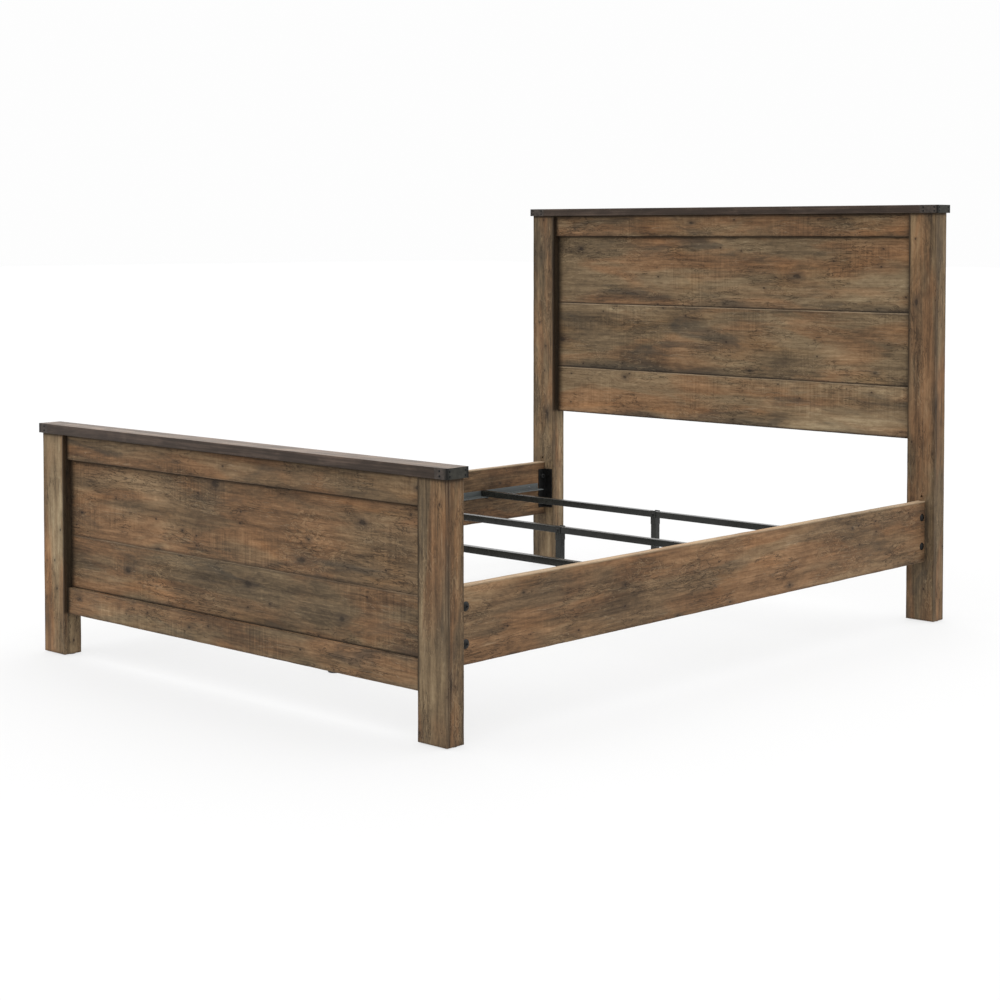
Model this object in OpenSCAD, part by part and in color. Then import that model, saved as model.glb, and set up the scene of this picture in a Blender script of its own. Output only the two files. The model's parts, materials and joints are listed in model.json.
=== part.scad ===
// Wooden panel bed frame for a queen-size mattress: headboard, footboard, two side rails,
// and four steel cross bars, each on a centre leg with a levelling foot.
// X runs across the bed, Y from the foot (-Y) to the head (+Y), Z up from the floor.

/* [Bed] */
// Width over the two head posts
head_w = 1680; // [1660:5:1720]
// Width over the two foot posts
foot_w = 1640; // [1640:5:1700]
// Distance over the outer faces of the side rails
rails_w = 1616; // [1606:2:1620]
// Length of the side rails, which is also the gap between head and foot posts
rail_l = 2075; // [2040:5:2120]

/* [Heights] */
// Top of the headboard's cap
head_h = 1300; // [1200:5:1450]
// Top of the footboard's cap
foot_h = 664; // [630:2:700]
// Middle of the side rails
rail_z = 283; // [270:1:300]
// Top of the cross bars
bar_top_z = 304; // [300:1:325]

/* [Posts and caps] */
// Width of a post across the bed
post_w = 98; // [90:1:110]
// Depth of a post along the bed
post_d = 57; // [55:1:65]
// Thickness of the board on the front of each post
face_t = 10; // [8:1:12]
// Thickness of the headboard's cap
head_cap_t = 25; // [22:1:30]
// Thickness of the footboard's cap
foot_cap_t = 27; // [24:1:30]
// How far a cap stands out past the posts
cap_over = 8; // [5:1:15]
// Thickness of the glides under the posts
glide_t = 2.5; // [2:0.5:5]

/* [Panels] */
// Height of the headboard's top rail
head_rail_h = 73; // [60:1:90]
// Height of the footboard's top rail
foot_rail_h = 72; // [60:1:90]
// Height of the footboard's bottom rail
foot_low_h = 75; // [60:1:90]
// Lower edge of the footboard
foot_low_z = 121; // [100:1:140]
// Lower edge of the headboard's panel
head_low_z = 566; // [520:2:600]
// Joint between the headboard's lower and middle planks
head_joint_low = 728; // [700:2:760]
// Joint between the headboard's middle and upper planks
head_joint_high = 960; // [930:2:990]
// Joint between the footboard's two planks
foot_joint = 347; // [320:1:370]
// How far the panel rails lie behind the post fronts
rail_in = 12; // [8:1:14]
// How far the planks lie behind the post fronts
plank_in = 25; // [22:1:26]
// Thickness of the planks
plank_t = 14; // [12:1:16]

/* [Side rails and steel] */
// Thickness of a side rail
side_t = 25; // [22:1:28]
// Height of a side rail
side_h = 190; // [180:2:200]
// Outside size of the square steel tube
tube = 20; // [18:1:25]
// Distance from one cross bar to the next
bar_pitch = 470; // [420:2:480]
// Height of a corner bracket
bracket_h = 140; // [130:2:150]
// Length of a corner bracket's legs
bracket_l = 36; // [34:1:40]

/* [Hidden] */

$fn = 48;
fit = 0.05;          // radial gap round dowels, screws and bolts
through = 1;         // how far a cutter runs past a face
left = -1;
right = 1;
head_y = rail_l / 2;            // front of the head posts
foot_y = -rail_l / 2 - post_d;  // front of the foot posts
head_top = head_h - head_cap_t; // top of the head posts
foot_top = foot_h - foot_cap_t; // top of the foot posts
panel_back = plank_in + plank_t;
batten_w = 60;
batten_t = 18;
batten_end = 15;     // batten ends stop this far short of the panel's edges
tongue_t = 5;
tongue_h = 8;
groove_gap = 0.2;
joint_chamfer = 1.5;
steel_t = 3;         // ledger and bracket plate
wall = 1.5;          // tube wall
strap_t = 1.5;
head_strap_l = 65;   // length of a strap's front and back legs
foot_strap_l = 42;
rail_out = rails_w / 2;
rail_inn = rail_out - side_t;
rail_bolt_dz = 45;   // rail bolts above and below the rail's middle
lag_dz = 55;         // lag screws above and below the rail's middle
leg_bolt_in = bracket_l / 2;
bolt_r = 4;
small_r = 3;         // bolts through the cross bars
bar_z = bar_top_z - tube;
ledger_w = 30;
ledger_h = 22;
ledger_gap = 5;      // between a ledger's end and the bracket
ledger_l = rail_l - 2 * (bracket_l + ledger_gap);
bar_gap = 3;         // between a bar's tube and the ledger's web
bar_half = rail_inn - steel_t - bar_gap;
bar_bolt_in = 22;    // bar bolts, in from the side rail's inner face
plug_face = 2;
plug_grip = 8;       // how far an end plug reaches into its bar
ear_t = 2.5;         // ears on a leg, which clasp the bar
ear_up = 2;
ear_down = 22;
plug_z = 29;         // underside of a leg plug's flange
plug_flange = 3;
plug_body = 20;
leg_bottom = plug_z + plug_flange;
foot_pad_r = 20;
foot_pad_t = 8;
foot_rim = 4;        // height of the pad's upright rim
foot_slope = 6;      // how far the pad's top is inside its rim
foot_nut = 17;       // across the flats of the collar that turns the foot
foot_nut_h = 6;
stem_r = 5;
stem_top = 62;
glide_r = 14;
glide_dx = 30;       // glides, left and right of a post's middle
glide_pin_r = 2;
glide_pin = 12;
dowel_r = 4;
dowel_half = 12;
dowel_in = 18;       // dowels, in from a panel rail's edges
cap_dowel_dx = 25;   // cap dowels, left and right of a post's middle
cap_dowel_y = 34;    // cap dowels, back from the post's front
nail_dz = 6;
nail_edge = 10;      // nails on a cap's end, in from its front and back
nail_l = 10;
nail_r = 1;
nail_head_r = 3;
nail_top_r = 1.4;
nail_head_h = 1.4;
screw_r = 1.75;      // countersunk and ledger screws
screw_head_r = 4;
screw_head_h = 3;
screw_l = 26;
pan_r = 2.5;         // ledger screw heads, at their outer face
pan_h = 2.4;
ledger_screw_l = 18;
rail_head_r = 12;    // button heads of the rail bolts
rail_head_h = 5;
rail_socket = 5;
rail_bolt_l = 38;
lag_l = 45;
lag_shift = 2;       // lag screws, in from the middle of the bracket's leg
lag_washer_r = 9;
lag_washer_t = 1.5;
lag_hex = 13;
lag_hex_h = 5;
small_hex = 10;
bar_head_h = 4;
bar_bolt_l = 12;     // bar bolt above the ledger's flange
leg_head_r = 6;      // button heads of the leg bolts
leg_head_h = 3.5;
leg_socket = 3;
leg_bolt_end = 7;    // leg bolt past the ear
nut_hex = 13;
nut_h = 6.5;
small_nut_h = 5;
spare_hole_r = 4;
spare_hole_depth = 25;
spare_hole_z = 392;
spare_hole_in = 45;
wood_mid = "#7c6249";
wood_dark = "#6b5541";
wood_light = "#86694c";
cap_brown = "#574b43";
charcoal = "#3a3b39";
black_steel = "#1f1f20";
ledger_grey = "#5c676a";
zinc = "#8c8f92";
black_plastic = "#18181a";
beech = "#b98d5c";

// Each end of the bed is "head" or "foot".
function end_y(e) = e == "head" ? head_y : foot_y;
function end_w(e) = e == "head" ? head_w : foot_w;
function post_top(e) = e == "head" ? head_top : foot_top;
function cap_t(e) = e == "head" ? head_cap_t : foot_cap_t;
function strap_l(e) = e == "head" ? head_strap_l : foot_strap_l;
function post_x(e) = end_w(e) / 2 - post_w / 2;
function panel_half(e) = end_w(e) / 2 - post_w;
function cap_half(e) = end_w(e) / 2 + cap_over;
function top_rail_h(e) = e == "head" ? head_rail_h : foot_rail_h;
function low_z(e) = e == "head" ? head_low_z : foot_low_z;

// Plank edges, from the lowest edge to the top rail's lower edge
head_edges = [head_low_z, head_joint_low, head_joint_high, head_top - head_rail_h];
foot_edges = [foot_low_z + foot_low_h, foot_joint, foot_top - foot_rail_h];

// Middle height of every board that the battens are screwed to
function mids(edges) = [for (i = [0:len(edges) - 2]) (edges[i] + edges[i + 1]) / 2];
head_screw_z = concat(mids(head_edges), [head_top - head_rail_h / 2]);
foot_screw_z = concat([foot_low_z + foot_low_h / 2], mids(foot_edges), [foot_top - foot_rail_h / 2]);
function screw_z(e) = e == "head" ? head_screw_z : foot_screw_z;
function batten_x(e) = panel_half(e) - batten_w / 2;

bars_y = [for (i = [0:3]) (1.5 - i) * bar_pitch];
ledger_screw_y = [-950, -470, -120, 120, 470, 950];

// ---------- general shapes ----------

// A block that spans x0..x1, y0..y1, z0..z1
module block(x0, x1, y0, y1, z0, z1) {
  translate([x0, y0, z0]) cube([x1 - x0, y1 - y0, z1 - z0]);
}

// Extrudes a Y-Z outline across the bed, centred on X = 0
module across(half) {
  translate([-half, 0, 0]) rotate([90, 0, 90]) linear_extrude(2 * half) children();
}

// Lays a cylinder's axis along Y or X; it starts at the origin and runs to plus
module along_y() {
  rotate([-90, 0, 0]) children();
}

module along_x(side) {
  rotate([0, side * 90, 0]) children();
}

// Places its children at every dowel between the posts and the panel rails and caps
module at_dowels(e) {
  rail_z0 = post_top(e) - top_rail_h(e);
  zs = concat(
    [rail_z0 + dowel_in, post_top(e) - dowel_in],
    e == "foot" ? [foot_low_z + dowel_in, foot_low_z + foot_low_h - dowel_in] : []
  );
  for (side = [left, right]) {
    for (z = zs)
      translate([side * panel_half(e), end_y(e) + (rail_in + panel_back) / 2, z]) along_x(side) children();
    for (dx = [-cap_dowel_dx, cap_dowel_dx])
      translate([side * post_x(e) + dx, end_y(e) + cap_dowel_y, post_top(e)]) children();
  }
}

module dowel(gap) {
  translate([0, 0, -dowel_half - gap]) cylinder(r = dowel_r + gap, h = 2 * (dowel_half + gap));
}

// A countersunk screw that points along -Y from the origin, which is the batten's back
module countersunk_screw(gap) {
  along_y() {
    translate([0, 0, -screw_l - gap]) cylinder(r = screw_r + gap, h = screw_l + gap);
    translate([0, 0, -screw_head_h - gap])
      cylinder(r1 = screw_r + gap, r2 = screw_head_r + gap, h = screw_head_h + gap);
  }
}

module at_panel_screws(e) {
  for (x = [-batten_x(e), 0, batten_x(e)], z = screw_z(e))
    translate([x, end_y(e) + panel_back + batten_t, z]) children();
}

// Places its children, pointing out of the bed, at each rail bolt on the rail's outer face
module at_rail_bolts(side) {
  for (end = [-1, 1], dz = [-rail_bolt_dz, rail_bolt_dz])
    translate([side * rail_out, end * (rail_l / 2 - leg_bolt_in), rail_z + dz]) along_x(side) children();
}

// Places its children, pointing into the post, at each lag screw on the bracket's inner face
module at_lags(e, side) {
  end = e == "head" ? 1 : -1;
  for (dz = [-lag_dz, lag_dz])
    translate([side * (rail_inn - leg_bolt_in - lag_shift), end * (rail_l / 2 - steel_t), rail_z + dz])
      rotate([end * -90, 0, 0]) children();
}

// Places its children, pointing out of the bed, at each ledger screw on the ledger's inner face
module at_ledger_screws(side) {
  for (y = ledger_screw_y)
    translate([side * (rail_inn - steel_t), y, bar_z + ledger_h / 2 - steel_t]) along_x(side) children();
}

// Places its children, pointing up, under the ledger flange below each bar's end
module at_bar_bolts(y) {
  for (side = [left, right]) translate([side * (rail_inn - bar_bolt_in), y, bar_z - steel_t]) children();
}

module hex(across_flats, h) {
  cylinder(d = across_flats / cos(30), h = h, $fn = 6);
}

// Low dome of radius r and height h on the plane Z = 0, with a hex socket in it
module button_head(r, h, socket) {
  ball_r = (r * r + h * h) / (2 * h);
  difference() {
    rotate_extrude() intersection() {
      translate([0, h - ball_r]) circle(r = ball_r, $fn = 96);
      square([r, h]);
    }
    translate([0, 0, h / 2]) hex(socket, h);
  }
}

// ---------- headboard and footboard ----------

module post_cuts(e) {
  at_dowels(e) dowel(fit);
  for (side = [left, right]) {
    at_lags(e, side) cylinder(r = bolt_r + fit, h = lag_l + fit);
    if (e == "head")
      translate([side * (end_w(e) / 2 - spare_hole_in), end_y(e) - through, spare_hole_z])
        along_y() cylinder(r = spare_hole_r, h = spare_hole_depth + through);
  }
  at_glides(e) cylinder(r = glide_pin_r + fit, h = glide_pin + fit);
}

module post(e, side) {
  x = side * post_x(e);
  color(wood_mid) difference() {
    block(x - post_w / 2, x + post_w / 2, end_y(e) + face_t, end_y(e) + post_d, glide_t, post_top(e));
    post_cuts(e);
  }
}

module post_face(e, side) {
  x = side * post_x(e);
  color(wood_light) difference() {
    block(x - post_w / 2, x + post_w / 2, end_y(e), end_y(e) + face_t, glide_t, post_top(e));
    post_cuts(e);
  }
}

// Y-Z outline of a panel board: front and back faces, edges, tongue and groove
module board_outline(e, front, z0, z1, top, bottom) {
  y0 = end_y(e) + front;
  y1 = end_y(e) + panel_back;
  tongue_y = end_y(e) + plank_in + (plank_t - tongue_t) / 2;
  difference() {
    union() {
      translate([y0, z0]) square([y1 - y0, z1 - z0]);
      if (top == "tongue") translate([tongue_y, z1 - through]) square([tongue_t, tongue_h + through]);
      if (bottom == "tongue") translate([tongue_y, z0 - tongue_h]) square([tongue_t, tongue_h + through]);
    }
    if (top == "groove") translate([tongue_y - groove_gap, z1 - tongue_h - groove_gap])
      square([tongue_t + 2 * groove_gap, tongue_h + groove_gap + through]);
    if (bottom == "groove") translate([tongue_y - groove_gap, z0 - through])
      square([tongue_t + 2 * groove_gap, tongue_h + groove_gap + through]);
  }
}

// A V-groove's half, cut off a plank's front edge at height z
module front_chamfer(e, z) {
  across(panel_half(e) + through) translate([end_y(e) + plank_in, z])
    circle(r = joint_chamfer * sqrt(2), $fn = 4);
}

module panel_board(e, front, z0, z1, top, bottom, chamfers, paint) {
  color(paint) difference() {
    across(panel_half(e)) board_outline(e, front, z0, z1, top, bottom);
    for (z = chamfers) front_chamfer(e, z);
    at_dowels(e) dowel(fit);
    at_panel_screws(e) countersunk_screw(fit);
  }
}

module head_top_rail() {
  panel_board("head", rail_in, head_edges[3], head_top, "plain", "groove", [], wood_mid);
}

module head_plank_upper() {
  panel_board("head", plank_in, head_edges[2], head_edges[3], "tongue", "groove", [head_edges[2]],
    wood_light);
}

module head_plank_middle() {
  panel_board("head", plank_in, head_edges[1], head_edges[2], "tongue", "groove",
    [head_edges[1], head_edges[2]], wood_mid);
}

module head_plank_lower() {
  panel_board("head", plank_in, head_edges[0], head_edges[1], "tongue", "plain", [head_edges[1]], wood_dark);
}

module foot_top_rail() {
  panel_board("foot", rail_in, foot_edges[2], foot_top, "plain", "groove", [], wood_mid);
}

module foot_plank_upper() {
  panel_board("foot", plank_in, foot_edges[1], foot_edges[2], "tongue", "groove", [foot_edges[1]], wood_dark);
}

module foot_plank_lower() {
  panel_board("foot", plank_in, foot_edges[0], foot_edges[1], "tongue", "tongue", [foot_edges[1]], wood_mid);
}

module foot_bottom_rail() {
  panel_board("foot", rail_in, foot_low_z, foot_edges[0], "groove", "plain", [], wood_light);
}

module batten(e, place) {
  x = place * batten_x(e);
  color(wood_dark) difference() {
    block(x - batten_w / 2, x + batten_w / 2, end_y(e) + panel_back, end_y(e) + panel_back + batten_t,
      low_z(e) + batten_end, post_top(e) - batten_end);
    at_panel_screws(e) countersunk_screw(fit);
  }
}

module cap_box(e, inset) {
  block(-cap_half(e) + inset, cap_half(e) - inset,
    end_y(e) - cap_over + inset, end_y(e) + post_d + cap_over - inset,
    post_top(e), post_top(e) + cap_t(e));
}

// The cap's ends are cut back by the strap's thickness, so that the straps lie flush
module cap(e) {
  color(cap_brown) difference() {
    union() {
      cap_box(e, strap_t);
      intersection() {
        cap_box(e, 0);
        block(-cap_half(e) + strap_l(e), cap_half(e) - strap_l(e), end_y(e) - 2 * cap_over,
          end_y(e) + post_d + 2 * cap_over, 0, 2 * head_h);
      }
    }
    at_dowels(e) dowel(fit);
    at_nails(e) nail_shank(fit);
  }
}

module strap(e, side) {
  edge = cap_half(e);
  rest_from = -side * 2 * edge;
  rest_to = side * (edge - strap_l(e));
  color(charcoal) difference() {
    cap_box(e, 0);
    block(-edge + strap_t, edge - strap_t,
      end_y(e) - cap_over + strap_t, end_y(e) + post_d + cap_over - strap_t,
      post_top(e) - through, post_top(e) + cap_t(e) + through);
    block(min(rest_from, rest_to), max(rest_from, rest_to),
      end_y(e) - 2 * cap_over, end_y(e) + post_d + 2 * cap_over,
      post_top(e) - through, post_top(e) + cap_t(e) + through);
    at_nails(e) nail_shank(fit);
  }
}

// Distances of the nail pairs from the cap's end, along its front and back
function nail_rows(e) = e == "head" ? [13, 52] : [25];

// Places its children at each nail, pointing out of the cap
module at_nails(e) {
  y_front = end_y(e) - cap_over;
  y_back = end_y(e) + post_d + cap_over;
  for (side = [left, right], dz = [-nail_dz, nail_dz]) {
    z = post_top(e) + cap_t(e) / 2 + dz;
    for (d = nail_rows(e)) {
      translate([side * (cap_half(e) - d), y_front, z]) rotate([90, 0, 0]) children();
      translate([side * (cap_half(e) - d), y_back, z]) rotate([-90, 0, 0]) children();
    }
    for (y = [y_front + nail_edge, y_back - nail_edge])
      translate([side * cap_half(e), y, z]) along_x(side) children();
  }
}

module nail_shank(gap) {
  translate([0, 0, -nail_l - gap]) cylinder(r = nail_r + gap, h = nail_l + 2 * gap, $fn = 16);
}

module strap_nails() {
  color(black_steel) for (e = ["head", "foot"]) at_nails(e) {
    translate([0, 0, -nail_l]) cylinder(r = nail_r, h = nail_l, $fn = 16);
    cylinder(r1 = nail_head_r, r2 = nail_top_r, h = nail_head_h, $fn = 24);
  }
}

// ---------- side rails and steel ----------

module side_rail(side) {
  y = rail_l / 2;
  color(wood_mid) difference() {
    block(min(side * rail_inn, side * rail_out), max(side * rail_inn, side * rail_out), -y, y,
      rail_z - side_h / 2, rail_z + side_h / 2);
    at_rail_bolts(side)
      translate([0, 0, -side_t - through]) cylinder(r = bolt_r + fit, h = side_t + 2 * through);
    at_ledger_screws(side) cylinder(r = screw_r + fit, h = ledger_screw_l + fit);
  }
}

// Steel angle along the rail; the bars rest on its flange
module ledger(side) {
  y = ledger_l / 2;
  back = side * rail_inn;
  web = side * (rail_inn - steel_t);
  lip = side * (rail_inn - ledger_w);
  color(ledger_grey) difference() {
    union() {
      block(min(web, back), max(web, back), -y, y, bar_z - steel_t, bar_z - steel_t + ledger_h);
      block(min(lip, back), max(lip, back), -y, y, bar_z - steel_t, bar_z);
    }
    at_ledger_screws(side) cylinder(r = screw_r + fit, h = ledger_screw_l);
    for (by = bars_y) at_bar_bolts(by)
      translate([0, 0, -through]) cylinder(r = small_r + fit, h = steel_t + 2 * through);
  }
}

module bracket(e, side) {
  end = e == "head" ? 1 : -1;
  y = end * rail_l / 2;
  xi = side * rail_inn;
  z0 = rail_z - bracket_h / 2;
  color(black_steel) difference() {
    union() {
      block(min(xi, xi - side * steel_t), max(xi, xi - side * steel_t),
        min(y, y - end * bracket_l), max(y, y - end * bracket_l), z0, z0 + bracket_h);
      block(min(xi, xi - side * bracket_l), max(xi, xi - side * bracket_l),
        min(y, y - end * steel_t), max(y, y - end * steel_t), z0, z0 + bracket_h);
    }
    at_rail_bolts(side)
      translate([0, 0, -side_t - 2 * steel_t]) cylinder(r = bolt_r + fit, h = side_t + 2 * steel_t);
    at_lags(e, side) translate([0, 0, -through]) cylinder(r = bolt_r + fit, h = lag_l);
  }
}

module cross_bar(i) {
  y = bars_y[i - 1];
  half = tube / 2;
  color(charcoal) difference() {
    block(-bar_half, bar_half, y - half, y + half, bar_z, bar_top_z);
    block(-bar_half - through, bar_half + through, y - half + wall, y + half - wall,
      bar_z + wall, bar_top_z - wall);
    at_bar_bolts(y) cylinder(r = small_r + fit, h = tube / 2);
    translate([0, y - tube, bar_z + half]) along_y() cylinder(r = small_r + fit, h = 2 * tube);
  }
}

module bar_end_plugs() {
  half = tube / 2;
  color(black_plastic) for (y = bars_y, side = [left, right]) {
    x0 = side * bar_half;
    x1 = side * (bar_half + plug_face);
    xb = side * (bar_half - plug_grip);
    block(min(x0, x1), max(x0, x1), y - half, y + half, bar_z, bar_top_z);
    block(min(x0, xb), max(x0, xb), y - half + wall, y + half - wall, bar_z + wall, bar_top_z - wall);
  }
}

// Square tube leg with two welded ears that clasp the bar
module centre_leg(i) {
  y = bars_y[i - 1];
  half = tube / 2;
  color(charcoal) difference() {
    union() {
      difference() {
        block(-half, half, y - half, y + half, leg_bottom, bar_z);
        block(-half + wall, half - wall, y - half + wall, y + half - wall,
          leg_bottom - through, bar_z + through);
      }
      block(-half, half, y - half - ear_t, y - half, bar_z - ear_down, bar_top_z + ear_up);
      block(-half, half, y + half, y + half + ear_t, bar_z - ear_down, bar_top_z + ear_up);
    }
    translate([0, y - tube, bar_z + half]) along_y() cylinder(r = small_r + fit, h = 2 * tube);
  }
}

// Plastic plug in each leg's lower end, with the thread for the levelling foot
module leg_plugs() {
  half = tube / 2;
  color(black_plastic) for (y = bars_y) difference() {
    union() {
      block(-half, half, y - half, y + half, plug_z, leg_bottom);
      block(-half + wall, half - wall, y - half + wall, y + half - wall, leg_bottom, leg_bottom + plug_body);
    }
    translate([0, y, plug_z - through]) cylinder(r = stem_r + fit, h = plug_flange + plug_body + 2 * through);
  }
}

// Pad, hex collar and threaded stem in one piece; it screws up and down in the leg plug
module levelling_foot(i) {
  color(black_plastic) translate([0, bars_y[i - 1], 0]) {
    rotate_extrude() polygon([[0, 0], [foot_pad_r - 1, 0], [foot_pad_r, 1], [foot_pad_r, foot_rim],
      [foot_pad_r - foot_slope, foot_pad_t], [0, foot_pad_t]]);
    translate([0, 0, foot_pad_t]) hex(foot_nut, foot_nut_h);
    translate([0, 0, foot_pad_t]) cylinder(r = stem_r, h = stem_top - foot_pad_t);
  }
}

module at_glides(e) {
  for (side = [left, right], dx = [-glide_dx, glide_dx])
    translate([side * post_x(e) + dx, end_y(e) + face_t + (post_d - face_t) / 2, glide_t]) children();
}

module post_glides() {
  color(black_plastic) for (e = ["head", "foot"]) at_glides(e) {
    translate([0, 0, -glide_t]) cylinder(r = glide_r, h = glide_t);
    cylinder(r = glide_pin_r, h = glide_pin);
  }
}

// ---------- fasteners ----------

module dowels() {
  color(beech) for (e = ["head", "foot"]) at_dowels(e) dowel(0);
}

module panel_screws() {
  color(zinc) for (e = ["head", "foot"]) at_panel_screws(e) countersunk_screw(0);
}

module ledger_screws() {
  color(zinc) for (side = [left, right]) at_ledger_screws(side) {
    translate([0, 0, -pan_h]) cylinder(r1 = pan_r, r2 = screw_head_r, h = pan_h);
    cylinder(r = screw_r, h = ledger_screw_l);
  }
}

module rail_bolts() {
  color(black_steel) for (side = [left, right]) at_rail_bolts(side) {
    button_head(rail_head_r, rail_head_h, rail_socket);
    translate([0, 0, -rail_bolt_l]) cylinder(r = bolt_r, h = rail_bolt_l);
  }
}

module post_lag_screws() {
  color(black_steel) for (e = ["head", "foot"], side = [left, right]) at_lags(e, side) {
    translate([0, 0, -lag_washer_t]) cylinder(r = lag_washer_r, h = lag_washer_t);
    translate([0, 0, -lag_washer_t - lag_hex_h]) hex(lag_hex, lag_hex_h);
    cylinder(r = bolt_r, h = lag_l);
  }
}

module bar_bolts() {
  color(zinc) for (y = bars_y) at_bar_bolts(y) {
    translate([0, 0, -bar_head_h]) hex(small_hex, bar_head_h);
    cylinder(r = small_r, h = steel_t + bar_bolt_l);
  }
}

module leg_bolts() {
  reach = tube / 2 + ear_t;
  color(black_steel) for (y = bars_y) translate([0, y - reach, bar_z + tube / 2]) {
    rotate([90, 0, 0]) button_head(leg_head_r, leg_head_h, leg_socket);
    along_y() cylinder(r = small_r, h = 2 * reach + leg_bolt_end);
  }
}

module nut(bore_r, across_flats, h) {
  difference() {
    hex(across_flats, h);
    translate([0, 0, -through]) cylinder(r = bore_r + fit, h = h + 2 * through);
  }
}

module nuts() {
  color(zinc) {
    for (side = [left, right]) at_rail_bolts(side)
      translate([0, 0, -side_t - steel_t - nut_h]) nut(bolt_r, nut_hex, nut_h);
    for (y = bars_y) {
      at_bar_bolts(y) translate([0, 0, steel_t + wall]) nut(small_r, small_hex, small_nut_h);
      translate([0, y + tube / 2 + ear_t, bar_z + tube / 2]) along_y() nut(small_r, small_hex, small_nut_h);
    }
  }
}

post("head", left);  // head_post_left
post("head", right);  // head_post_right
post_face("head", left);  // head_post_face_left
post_face("head", right);  // head_post_face_right
post("foot", left);  // foot_post_left
post("foot", right);  // foot_post_right
post_face("foot", left);  // foot_post_face_left
post_face("foot", right);  // foot_post_face_right
head_top_rail();
head_plank_upper();
head_plank_middle();
head_plank_lower();
batten("head", left);  // head_batten_left
batten("head", 0);  // head_batten_middle
batten("head", right);  // head_batten_right
cap("head");  // head_cap
strap("head", left);  // head_cap_strap_left
strap("head", right);  // head_cap_strap_right
foot_top_rail();
foot_bottom_rail();
foot_plank_upper();
foot_plank_lower();
batten("foot", left);  // foot_batten_left
batten("foot", 0);  // foot_batten_middle
batten("foot", right);  // foot_batten_right
cap("foot");  // foot_cap
strap("foot", left);  // foot_cap_strap_left
strap("foot", right);  // foot_cap_strap_right
strap_nails();
side_rail(left);  // side_rail_left
side_rail(right);  // side_rail_right
ledger(left);  // ledger_left
ledger(right);  // ledger_right
bracket("head", left);  // head_bracket_left
bracket("head", right);  // head_bracket_right
bracket("foot", left);  // foot_bracket_left
bracket("foot", right);  // foot_bracket_right
cross_bar(1);  // cross_bar_1
cross_bar(2);  // cross_bar_2
cross_bar(3);  // cross_bar_3
cross_bar(4);  // cross_bar_4
bar_end_plugs();
centre_leg(1);  // centre_leg_1
centre_leg(2);  // centre_leg_2
centre_leg(3);  // centre_leg_3
centre_leg(4);  // centre_leg_4
leg_plugs();
levelling_foot(1);  // levelling_foot_1
levelling_foot(2);  // levelling_foot_2
levelling_foot(3);  // levelling_foot_3
levelling_foot(4);  // levelling_foot_4
post_glides();
dowels();
panel_screws();
ledger_screws();
rail_bolts();
post_lag_screws();
bar_bolts();
leg_bolts();
nuts();
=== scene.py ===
import json
import math

import bmesh
import bpy
import numpy as np
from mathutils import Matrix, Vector


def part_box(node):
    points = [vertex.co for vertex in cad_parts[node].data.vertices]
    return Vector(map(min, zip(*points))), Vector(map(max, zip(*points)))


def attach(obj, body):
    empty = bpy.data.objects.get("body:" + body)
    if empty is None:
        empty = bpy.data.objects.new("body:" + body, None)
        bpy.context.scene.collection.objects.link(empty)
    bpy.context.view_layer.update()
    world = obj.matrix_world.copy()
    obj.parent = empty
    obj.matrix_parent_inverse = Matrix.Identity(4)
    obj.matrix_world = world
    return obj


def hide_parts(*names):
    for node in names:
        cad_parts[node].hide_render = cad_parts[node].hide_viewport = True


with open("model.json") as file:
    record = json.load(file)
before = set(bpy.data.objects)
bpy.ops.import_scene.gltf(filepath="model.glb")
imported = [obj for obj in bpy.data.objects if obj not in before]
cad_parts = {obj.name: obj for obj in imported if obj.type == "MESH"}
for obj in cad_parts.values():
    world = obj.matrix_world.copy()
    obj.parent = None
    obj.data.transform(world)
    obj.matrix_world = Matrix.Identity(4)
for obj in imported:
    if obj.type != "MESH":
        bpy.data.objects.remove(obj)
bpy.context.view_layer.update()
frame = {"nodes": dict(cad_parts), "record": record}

scene = bpy.context.scene
X, Y, Z = 0, 1, 2
MM = 0.001
BED = "bed_frame"

# ---------- camera and view ------------------

camera = bpy.data.objects.new("camera", bpy.data.cameras.new("camera"))
scene.collection.objects.link(camera)
camera.location = (4.0913, -4.4039, 1.2086)
camera.rotation_euler = (math.radians(90 - 2.448), 0, math.radians(43.141))
camera.data.lens = 72.15
camera.data.shift_y = -0.18
camera.data.clip_end = 200
scene.camera = camera
scene.view_settings.view_transform = "Standard"


# ---------- node tree helper ----------

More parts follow.
